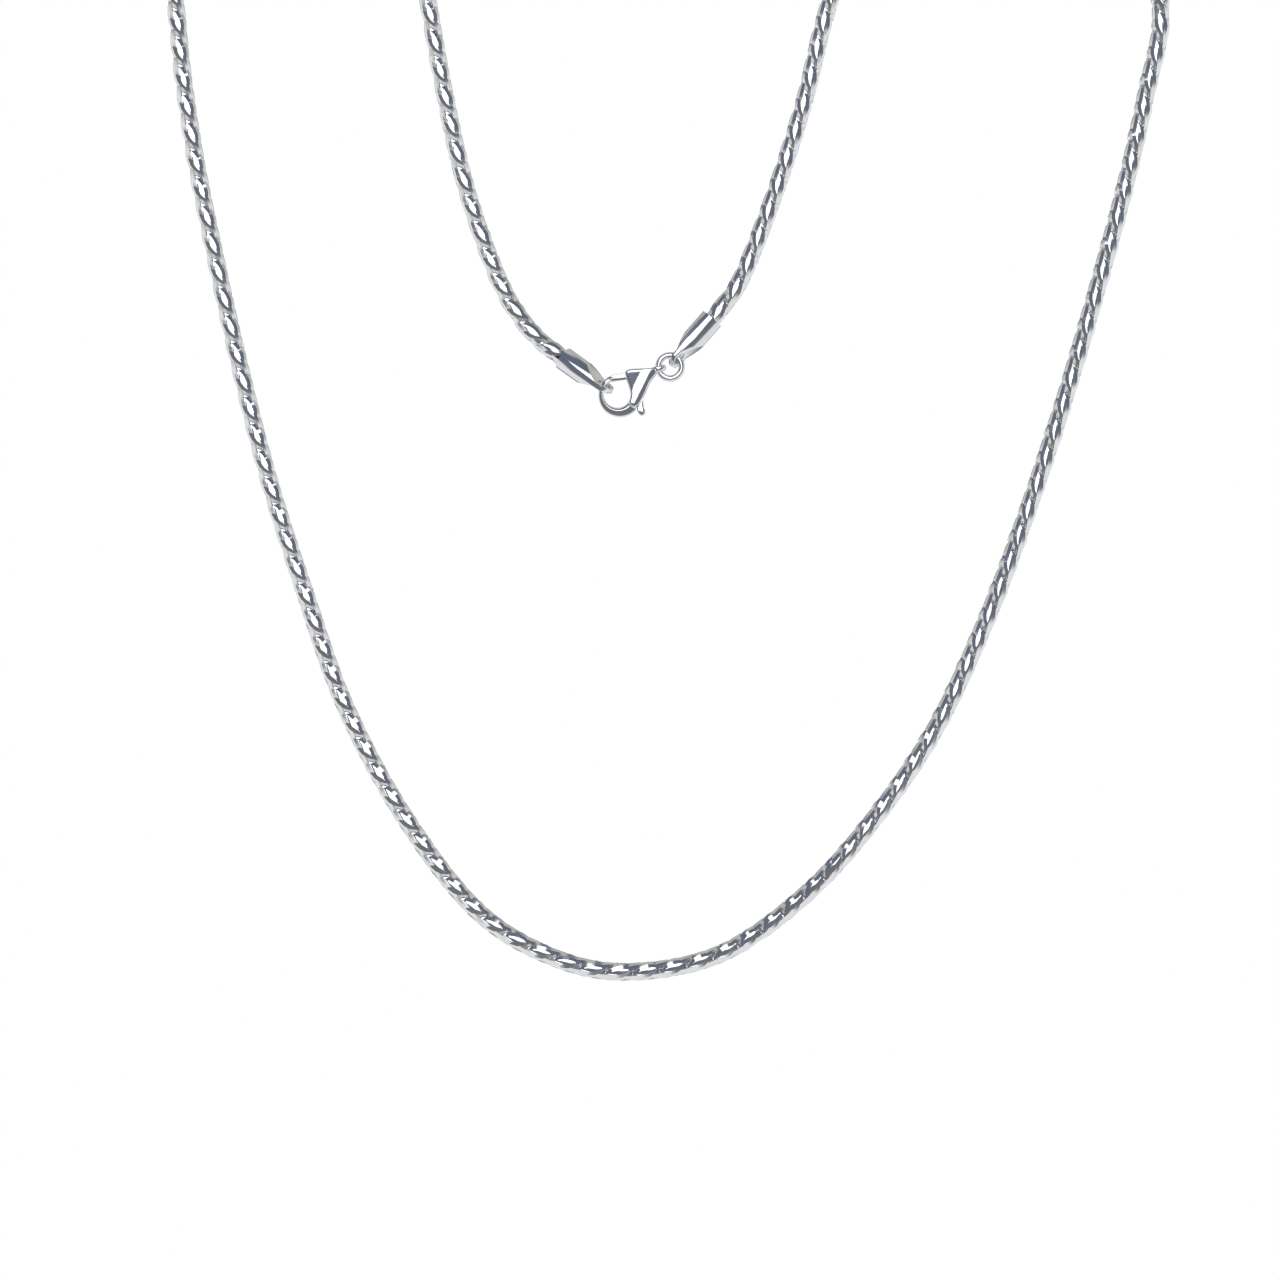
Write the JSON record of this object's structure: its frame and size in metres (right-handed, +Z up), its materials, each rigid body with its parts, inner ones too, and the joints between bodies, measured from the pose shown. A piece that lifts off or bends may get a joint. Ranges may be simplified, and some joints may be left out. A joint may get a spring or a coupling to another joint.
{
  "type": "snake bone necklace chain",
  "caption": "Snake bone necklace chain of interlocked domed leaf links, kept in its hanging form, with end tubes, a jump ring and a lobster clasp whose sprung lever opens the hook.",
  "frame": {"origin": "middle between the two top bends, level with their undersides, where a neck, bust or pair of pegs carries the chain", "axes": "+Z up, +Y towards the back, +X to the right as seen from the front"},
  "size_m": [0.1383, 0.0097, 0.1574],
  "materials": {
    "chain_silver": "polished",
    "tube_silver": "polished",
    "ring_silver": "polished",
    "clasp_silver": "polished",
    "lever_silver": "polished"
  },
  "bodies": {
    "necklace": {"chain_left": "chain_silver", "chain_right": "chain_silver", "end_tube_left": "tube_silver", "end_tube_right": "tube_silver", "jump_ring": "ring_silver", "clasp_body": "clasp_silver"},
    "lever": {"clasp_lever": "lever_silver"}
  },
  "joints": [
    {"name": "lever_swing", "type": "hinge", "parent": "necklace", "child": "lever", "pos_m": [-0.00242, 0, -0.07175], "axis": [0, -1, 0], "range_deg": [0, 25], "stiffness_Nm_per_rad": 0.002, "springref_deg": -22.92}
  ]
}
